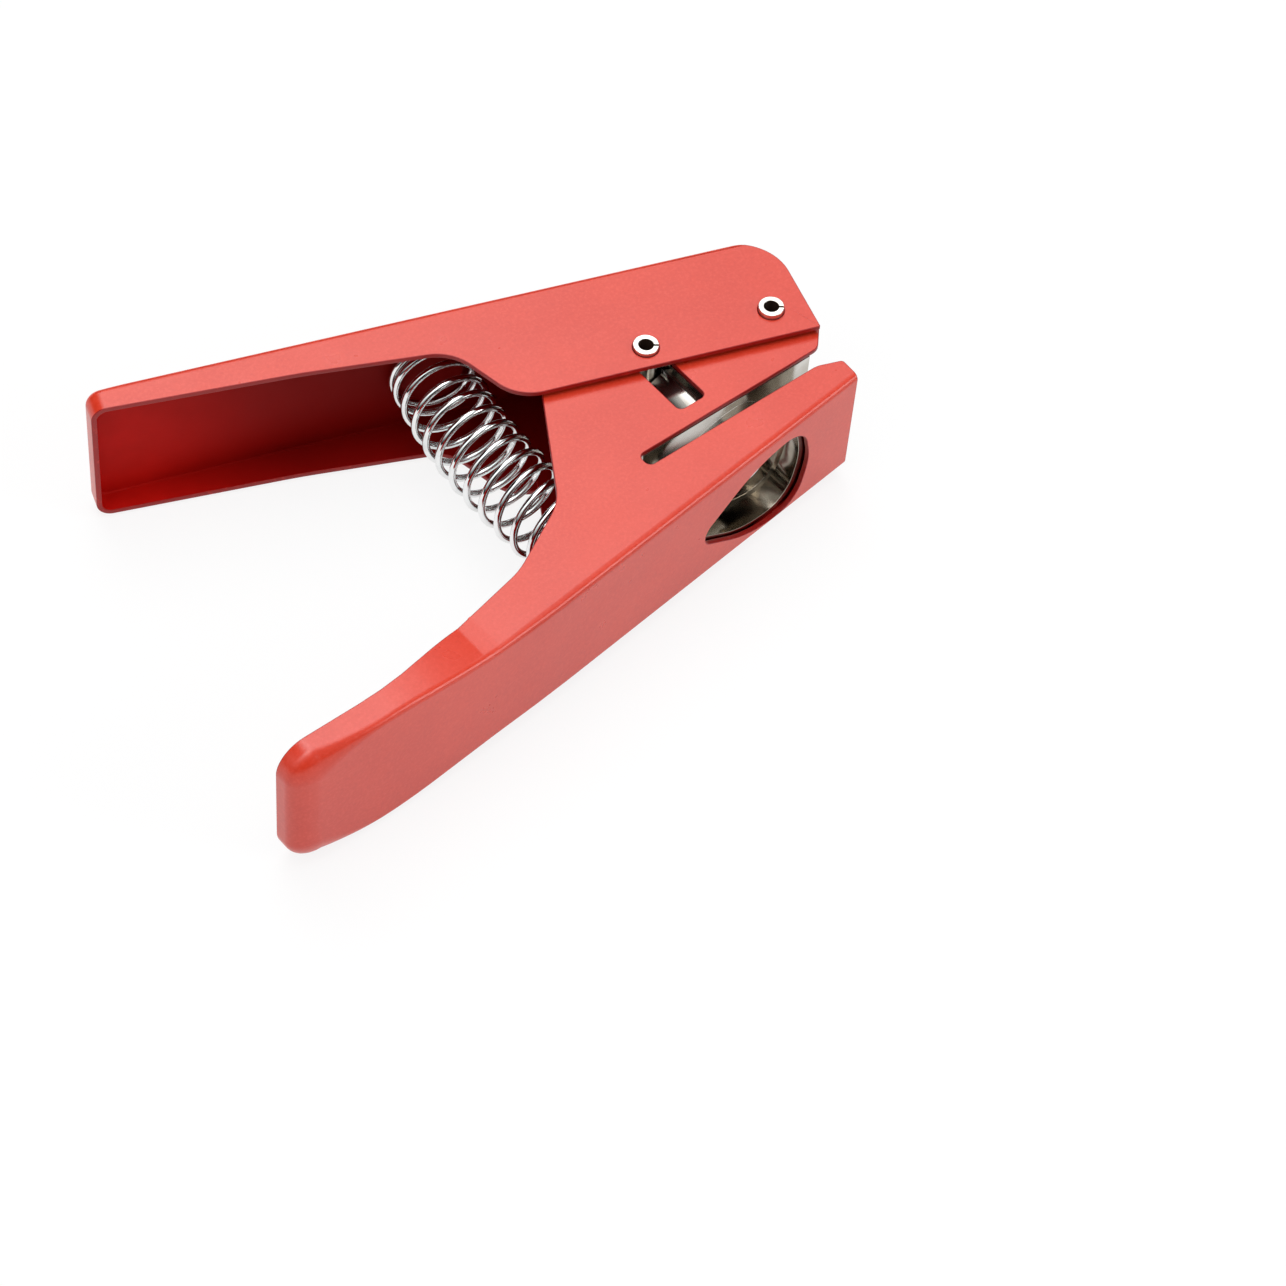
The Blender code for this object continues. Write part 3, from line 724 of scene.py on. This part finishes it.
# ---------------------------------------------------------------- lever
lever_turn = Matrix.Rotation(-lever_open_angle, 4, "Z")
half_lever_end = half_lever + lever_flare
lever_blend_share = lever_end_blend / (lever_reach - lever_corner_radius - lever_notch_reach)
lever_blend_half = half_lever_end - lever_flare * lever_blend_share
lever_run = [(lever_nose + overrun, half_lever, half_lever),
             (-lever_notch_reach, half_lever, half_lever),
             (-lever_reach + lever_corner_radius + lever_end_blend, lever_blend_half, lever_blend_half),
             (-lever_reach + lever_corner_radius, half_lever_end, half_lever_end)]
lever_pressing = channel("lever_pressing", lever_run, lever_reach, lever_corner_radius, lever_end_radius,
                         lever_end_radius, lambda x: lever_web_height, lambda x: -lever_drop - overrun / 2,
                         -lever_drop - overrun, 1)
lever_top = lever_web_height + overrun
lever_outline = rounded([
    (lever_nose, -lever_drop, lever_tip_radius),
    (lever_nose - lever_nose_lean, lever_web_height, lever_nose_radius),
    (-lever_notch_reach, lever_web_height, 0.0),
    (-lever_notch_reach, lever_top, 0.0),
    (-lever_reach - overrun, lever_top, 0.0),
    (-lever_reach - overrun, lever_end_height, 0.0),
    (-lever_grip_reach, lever_grip_height, lever_grip_radius),
    (-lever_notch_reach, lever_notch_height, lever_notch_radius),
    (-lever_heel_reach, -lever_drop, lever_heel_radius),
])
drive_local = lever_turn.inverted() @ Vector((drive_rest.x, drive_rest.y, 0.0))
cut(lever_pressing, prism("trim", lever_outline, -half_lever - overrun, half_lever + overrun, side_view), keep=True)
cut(lever_pressing,
    round_tool("hole", pin_radius + pin_fit, 2 * (half_lever + overrun)),
    round_tool("drive", pin_radius + pin_fit, 2 * (half_lever + overrun), drive_local))
break_edges(lever_pressing, paint_edge, edge_slot=1)
# The web tapers off over the nose, and that long face is painted as the web is
for face in lever_pressing.data.polygons:
    if face.center.y > lever_web_height - sheet and face.center.x > -lever_nose_radius and face.material_index == 1:
        face.material_index = 0
lever_pressing.matrix_world = lever_turn
settle(lever_pressing, "lever", "lever", "red_paint")


# ---------------------------------------------------------------- pins and washers
def rolled_outline(outer, inner, split, turn):
    """Outline of a rolled ring of the given radii, open by split at turn."""
    points = []
    for radius, way in ((outer, 1), (inner, -1)):
        open_half = math.asin(split / 2 / radius)
        for k in range(turn_steps + 1)[::way]:
            a = turn + open_half + (2 * math.pi - 2 * open_half) * k / turn_steps
            points.append(Vector((radius * math.cos(a), radius * math.sin(a))))
    return points


def spring_pin(name, node, body, place, stand_out):
    half = half_lever + stand_out
    inner = pin_radius - pin_wall
    pin = prism(name, rolled_outline(pin_radius, inner, pin_split, pin_split_turn), -half, half, side_view)
    break_edges(pin, pin_edge, 3)
    pin.matrix_world = Matrix.Translation((place[0], place[1], 0.0))
    # The wall of the bore has a dark brown finish of its own, which is painted shade in the bore
    bore = [math.hypot(face.center.x, face.center.y) < inner + pin_wall / 4 and abs(face.normal.z) < 0.1
            for face in pin.data.polygons]
    settle(pin, body, node, "pin_steel", pin_steel, pin_bore_painted_shade)
    for face, inside in zip(pin.data.polygons, bore):
        face.material_index = int(inside)


spring_pin("pivot_roll_pin", "pivot_pin", "frame", (0.0, 0.0), pin_stand_out)
spring_pin("drive_roll_pin", "drive_pin", "lever", drive_rest, drive_stand_out)

for name, node, side in (("near_washer", "pivot_washer_near", 1), ("far_washer", "pivot_washer_far", -1)):
    rim = washer_diameter / 2
    half = washer_space / 2 - rest_gap
    washer = turned(name, [(rim, half), (rim, -half), (pin_hole, -half), (pin_hole, half)])
    break_edges(washer, washer_edge)
    washer.matrix_world = Matrix.Translation((0.0, 0.0, side * (half_frame + washer_space / 2)))
    settle(washer, "frame", node, "washer_steel", washer_steel)

# ---------------------------------------------------------------- punch, guide and die
punch_bar = prism("pick_punch_bar", pick_outline(), -slot_top_drop + rest_gap, window_top + punch_cap, plan_view)
cross_outline = rounded([
    (window_rear, drive_rest.y - pin_radius - slide_gap, window_radius),
    (window_front, drive_rest.y - pin_radius - slide_gap, window_radius),
    (window_front, window_top, window_radius), (window_rear, window_top, window_radius)])
cut(punch_bar, prism("cross", cross_outline, -half_frame, half_frame, side_view))
break_edges(punch_bar, steel_edge)
settle(punch_bar, "punch", "punch", "tool_steel", tool_steel)

guide_floor = -slot_top_drop + rest_gap / 3
guide_top = guide_floor + guide_height
guide_step = guide_floor + guide_step_height
guide_head_front = guide_head_wall - punch_front_reach
guide_block = prism("guide_block", [
    Vector((-guide_rear_reach, guide_top)), Vector((-guide_rear_reach, guide_floor)),
    Vector((guide_front, guide_floor)), Vector((guide_front, guide_step)),
    Vector((guide_head_front, guide_step)), Vector((guide_head_front, guide_top))],
    -block_half, block_half, side_view)
cut(guide_block,
    prism("hole", pick_outline(slide_gap), guide_floor - overrun, guide_top + overrun, plan_view),
    block("notch", (window_rear, window_floor, -block_half - overrun),
          (window_front, guide_top + overrun, block_half + overrun)))
break_edges(guide_block, steel_edge)
settle(guide_block, "frame", "punch_guide", "tool_steel", tool_steel)

die_top = -slot_floor_drop - rest_gap
foot = (sheet + rest_gap) / math.cos(frame_web_angle)
die_block = prism("die_block", [
    Vector((-guide_rear_reach, die_top)), Vector((-guide_rear_reach, web_level(-guide_rear_reach) + foot)),
    Vector((guide_front, web_level(guide_front) + foot)), Vector((guide_front, die_top))],
    -block_half, block_half, side_view)
cut(die_block,
    prism("land", pick_outline(die_land_gap), die_top - die_land - overrun, die_top + overrun, plan_view),
    prism("relief", pick_outline(die_relief_gap), frame_floor, die_top - die_land, plan_view))
break_edges(die_block, steel_edge)
settle(die_block, "frame", "die", "tool_steel", die_steel_painted_shade)

# ---------------------------------------------------------------- handle spring
frame_up = Vector((-math.sin(frame_web_angle), math.cos(frame_web_angle), 0.0))
lever_up = Vector((math.sin(lever_open_angle), math.cos(lever_open_angle), 0.0))
foot_face = Vector((-spring_foot_reach, web_level(-spring_foot_reach), 0.0)) + frame_up * sheet
head_inside = lever_web_height - sheet
head_along = (spring_head_reach + head_inside * lever_up.x) / lever_up.y
head_face = Vector((-head_along * lever_up.y, head_along * lever_up.x, 0.0)) + lever_up * head_inside
wire_seat = rest_gap + spring_wire / 2
axis_start = foot_face + frame_up * wire_seat
axis_end = head_face - lever_up * wire_seat


def spring_tree():
    """Coil on a bowed axis that stands square on both faces, with closed ends eased into an even pitch."""
    tree = bpy.data.node_groups.new("handle_spring_winding", "GeometryNodeTree")
    tree.is_modifier = True
    for name, kind in (("Geometry", "NodeSocketGeometry"), ("Wire diameter", "NodeSocketFloat"),
                       ("Coil radius", "NodeSocketFloat"), ("Curls", "NodeSocketFloat"),
                       ("Closed curls", "NodeSocketFloat"), ("Eased curls", "NodeSocketFloat"),
                       ("Closed gap", "NodeSocketFloat"), ("Points", "NodeSocketInt"), ("Wire sides", "NodeSocketInt"),
                       ("Foot", "NodeSocketVector"), ("Foot way", "NodeSocketVector"), ("Head", "NodeSocketVector"),
                       ("Head way", "NodeSocketVector"), ("Finish", "NodeSocketMaterial")):
        tree.interface.new_socket(name, in_out="INPUT", socket_type=kind)
    tree.interface.new_socket("Geometry", in_out="OUTPUT", socket_type="NodeSocketGeometry")
    n = Nodes(tree)
    given = n.add("NodeGroupInput").outputs
    wire, radius, curls = given["Wire diameter"], given["Coil radius"], given["Curls"]
    closed, eased, foot, head = given["Closed curls"], given["Eased curls"], given["Foot"], given["Head"]

    line = n.add("GeometryNodeCurvePrimitiveLine", {"End": (1.0, 0.0, 0.0)})
    points = n.add("GeometryNodeResampleCurve", {"Curve": line.outputs[0], "Count": given["Points"]})
    share = n.add("GeometryNodeSplineParameter").outputs["Factor"]
    spare = n.sum("DIVIDE", n.sum("DIVIDE", wire, radius), 2 * math.pi)
    turns = n.sum("SUBTRACT", n.sum("MULTIPLY", share, n.sum("MULTIPLY_ADD", spare, 2.0, curls)), spare)
    length = n.vector("DISTANCE", foot, head)
    pitch = n.sum("ADD", wire, given["Closed gap"])
    open_curls = n.sum("SUBTRACT", n.sum("MULTIPLY_ADD", closed, -2.0, curls), eased)
    added = n.sum("DIVIDE", n.sum("SUBTRACT", length, n.sum("MULTIPLY", pitch, curls)), open_curls)
    from_end = n.sum("MINIMUM", turns, n.sum("SUBTRACT", curls, turns))
    opened = n.sum("MAXIMUM", n.sum("SUBTRACT", from_end, closed), 0.0)
    easing = n.sum("MINIMUM", opened, eased)
    extra = n.sum("ADD", n.sum("DIVIDE", n.sum("MULTIPLY", easing, easing), n.sum("MULTIPLY", eased, 2.0)),
                  n.sum("SUBTRACT", opened, easing))
    rise = n.sum("DIVIDE", n.sum("MULTIPLY_ADD", pitch, from_end, n.sum("MULTIPLY", added, extra)), length)
    past = n.sum("GREATER_THAN", turns, n.sum("MULTIPLY", curls, 0.5))
    flip = n.sum("MULTIPLY_ADD", past, -2.0, 1.0)
    t = n.sum("MULTIPLY_ADD", rise, flip, past)
    t2 = n.sum("MULTIPLY", t, t)
    t3 = n.sum("MULTIPLY", t2, t)

    def cubic(c3, c2, c1, c0):
        value = n.sum("MULTIPLY_ADD", t3, c3, c0)
        value = n.sum("MULTIPLY_ADD", t2, c2, value)
        return n.sum("MULTIPLY_ADD", t, c1, value)

    foot_pull = n.vector("SCALE", given["Foot way"], scale=length)
    head_pull = n.vector("SCALE", given["Head way"], scale=length)

    def blend(*shares):
        total = n.vector("SCALE", foot, scale=shares[0])
        for vector, weight in ((foot_pull, shares[1]), (head, shares[2]), (head_pull, shares[3])):
            total = n.vector("ADD", total, n.vector("SCALE", vector, scale=weight))
        return total

    place = blend(cubic(2, -3, 0, 1), cubic(1, -2, 1, 0), cubic(-2, 3, 0, 0), cubic(1, -1, 0, 0))
    way = n.vector("NORMALIZE", blend(
        n.sum("MULTIPLY_ADD", t2, 6.0, n.sum("MULTIPLY", t, -6.0)),
        n.sum("ADD", n.sum("MULTIPLY_ADD", t2, 3.0, n.sum("MULTIPLY", t, -4.0)), 1.0),
        n.sum("MULTIPLY_ADD", t2, -6.0, n.sum("MULTIPLY", t, 6.0)),
        n.sum("MULTIPLY_ADD", t2, 3.0, n.sum("MULTIPLY", t, -2.0))))
    across = n.vector("CROSS_PRODUCT", way, (0.0, 0.0, 1.0))
    angle = n.sum("MULTIPLY", turns, -2 * math.pi)
    spot = n.vector("ADD", place, n.vector("SCALE", across, scale=n.sum("MULTIPLY", radius, n.sum("COSINE", angle))))
    spot = n.vector("ADD", spot, n.vector("SCALE", (0.0, 0.0, 1.0),
                                          scale=n.sum("MULTIPLY", radius, n.sum("SINE", angle))))
    coil = n.add("GeometryNodeSetPosition", {"Geometry": points.outputs[0], "Position": spot})
    ring = n.add("GeometryNodeCurvePrimitiveCircle",
                 {"Resolution": given["Wire sides"], "Radius": n.sum("MULTIPLY", wire, 0.5)}, mode="RADIUS")
    tube = n.add("GeometryNodeCurveToMesh", {"Curve": coil.outputs[0], "Profile Curve": ring.outputs[0],
                                             "Fill Caps": True})
    smooth = n.add("GeometryNodeSetShadeSmooth", {"Geometry": tube.outputs[0]})
    real = n.add("GeometryNodeRealizeInstances", {"Geometry": smooth.outputs[0]})
    dressed = n.add("GeometryNodeSetMaterial", {"Geometry": real.outputs[0], "Material": given["Finish"]})
    out = n.add("NodeGroupOutput")
    tree.links.new(dressed.outputs[0], out.inputs[0])
    return tree


def grown(name, tree, values):
    """Object whose mesh the tree makes from its named inputs."""
    obj = bpy.data.objects.new(name, bpy.data.meshes.new(name))
    step = obj.modifiers.new("Winding", "NODES")
    step.node_group = tree
    for item in tree.interface.items_tree:
        if item.in_out == "INPUT" and item.name in values:
            step[item.identifier] = values[item.name]
    scene.collection.objects.link(obj)
    return baked(obj)


spring_coil = grown("spring_coil", spring_tree(), {
    "Wire diameter": spring_wire, "Coil radius": coil_radius, "Curls": spring_curls,
    "Closed curls": spring_closed_curls, "Eased curls": spring_eased_curls, "Closed gap": spring_closed_gap,
    "Points": wire_points, "Wire sides": wire_sides, "Foot": axis_start, "Foot way": frame_up, "Head": axis_end,
    "Head way": lever_up, "Finish": spring_chrome})
spring_coil.data.transform(to_tool)
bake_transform(spring_coil)
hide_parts("handle_spring")

seat_radius = coil_radius - spring_wire / 2 - seat_play
# The plugs take the darker inside red, which is painted shade in the channels
for name, node, body, face, up in (("lower_seat_plug", "spring_seat_lower", "frame", foot_face, frame_up),
                                   ("upper_seat_plug", "spring_seat_upper", "lever", head_face, -lever_up)):
    seat = turned(name, [(0.0, seat_height), (seat_radius - seat_chamfer, seat_height),
                         (seat_radius, seat_height - seat_chamfer), (seat_radius, rest_gap), (0.0, rest_gap)])
    break_edges(seat, seat_edge)
    seat.matrix_world = Matrix.Translation(face) @ Vector((0, 0, 1)).rotation_difference(up).to_matrix().to_4x4()
    settle(seat, body, node, "red_paint", red_inside_painted_shade)

# ---------------------------------------------------------------- studio
camera_place = pivot + Vector((-0.43634, -0.419261, 0.68704))
right = Vector((0.76829, -0.63723, 0.0606)).normalized()
up = Vector((0.48004, 0.63622, 0.60398)).normalized()
back = right.cross(up).normalized()
up = back.cross(right)
cam = bpy.data.cameras.new("camera")
cam.sensor_width = 36.0
cam.lens = 117.357
cam.clip_start = 0.01
cam.clip_end = 20.0
camera = bpy.data.objects.new("camera", cam)
scene.collection.objects.link(camera)
camera.matrix_world = Matrix(((right.x, up.x, back.x, camera_place.x), (right.y, up.y, back.y, camera_place.y),
                              (right.z, up.z, back.z, camera_place.z), (0, 0, 0, 1)))
scene.camera = camera

# To the camera, and a little less in mirrors, the paper is mostly an even white; only the
# rest of it is lit by the room and takes the tool's shadow
floor_white = 0.86
mirrored_white = 0.8
board_white = 0.93
floor_radius = 4.0
bm = bmesh.new()
bmesh.ops.create_circle(bm, cap_ends=True, segments=turn_steps, radius=floor_radius)
floor = mesh_object("floor", bm)
paper = bpy.data.materials.new("pale_floor")
paper.use_nodes = True
paper.node_tree.nodes.clear()
n = Nodes(paper.node_tree)
board = n.add("ShaderNodeBsdfDiffuse", {"Color": (board_white, board_white, board_white, 1.0)})
glow = n.add("ShaderNodeEmission", {"Color": (1.0, 1.0, 1.0, 1.0), "Strength": 1.0})
direct, mirrored = n.rays()
seen = n.sum("MAXIMUM", direct, n.sum("MULTIPLY", mirrored, mirrored_white))
shown = n.add("ShaderNodeMixShader", {0: n.sum("MULTIPLY", seen, floor_white), 1: board.outputs[0],
                                      2: glow.outputs[0]})
n.add("ShaderNodeOutputMaterial", {0: shown.outputs[0]})
floor.data.materials.append(paper)

world = bpy.data.worlds.new("studio")
scene.world = world
world.use_nodes = True
tree = world.node_tree
tree.nodes.clear()
n = Nodes(tree)
way = n.vector("NORMALIZE", n.add("ShaderNodeTexCoord").outputs["Generated"])
# Soft lights round the tool: degrees from +X towards +Y, degrees up, degrees across to dark, strength
soft_lights = (
    (0.0, 90.0, 30.0, 4.9),
    (64.0, 59.0, 30.0, 4.9),
    (180.0, 60.0, 30.0, 2.0),
    (0.0, 60.0, 30.0, 0.6),
    (240.0, 60.0, 30.0, 0.8),
    (300.0, 60.0, 30.0, 0.5),
    (308.0, 24.0, 20.0, 6.8),
    (280.0, 32.0, 30.0, 0.3),
    (160.0, 32.0, 30.0, 1.0),
    (200.0, 32.0, 30.0, 0.5),
)
light = 0.0
for turn, rise, spread, strength in soft_lights:
    turn, rise = math.radians(turn), math.radians(rise)
    towards = (math.cos(turn) * math.cos(rise), math.sin(turn) * math.cos(rise), math.sin(rise))
    aside = n.sum("ARCCOSINE", n.sum("MINIMUM", n.vector("DOT_PRODUCT", way, towards), 1.0))
    share = n.sum("MINIMUM", n.sum("DIVIDE", aside, math.radians(spread)), 1.0)
    bell = n.sum("MULTIPLY_ADD", n.sum("COSINE", n.sum("MULTIPLY", share, math.pi)), 0.5, 0.5)
    light = n.sum("MULTIPLY_ADD", bell, strength, light)
# The camera sees white all round, and mirrors see it only just above the floor
skyline_height = 0.05
direct, mirrored = n.rays()
height = n.add("ShaderNodeSeparateXYZ", {0: way}).outputs["Z"]
skyline = n.steps(height, ((0.0, 1.0), (skyline_height, 0.0)))
seen = n.sum("MAXIMUM", direct, n.sum("MULTIPLY", mirrored, skyline))
room = n.add("ShaderNodeBackground", {"Color": (1.0, 1.0, 1.0, 1.0), "Strength": light})
white = n.add("ShaderNodeBackground", {"Color": (1.0, 1.0, 1.0, 1.0), "Strength": 1.0})
shown = n.add("ShaderNodeMixShader", {0: seen, 1: room.outputs[0], 2: white.outputs[0]})
n.add("ShaderNodeOutputWorld", {0: shown.outputs[0]})

scene.view_settings.view_transform = "Standard"
